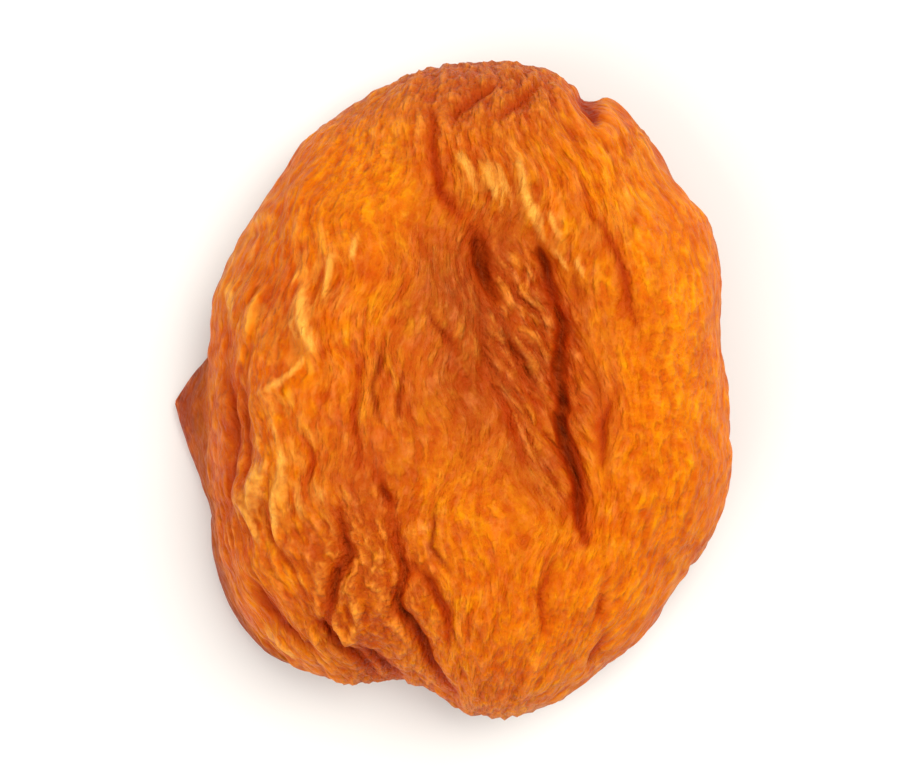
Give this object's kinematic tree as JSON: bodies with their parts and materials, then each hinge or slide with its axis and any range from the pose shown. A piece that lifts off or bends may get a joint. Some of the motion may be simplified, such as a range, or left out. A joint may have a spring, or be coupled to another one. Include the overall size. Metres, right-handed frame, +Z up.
{
  "type": "dried apricot half",
  "caption": "Dried apricot half lying skin side up: a low wrinkled orange dome with a long sunken hollow, a curled-under rim and the shallow cup left by the stone below.",
  "frame": {"origin": "on the surface that the half lies on, under the middle of its bounding box", "axes": "+Z up out of the skin side, +Y from the tip towards the stem end, +X to the right seen from above"},
  "size_m": [0.036, 0.0422, 0.0131],
  "materials": {
    "dried_flesh": "satin orange dried fruit skin, pale yellow-orange on the ridges, brick red to dark brown in the creases, at the rim and in the cup"
  },
  "bodies": {
    "root": {"apricot_half": "dried_flesh"}
  },
  "joints": []
}
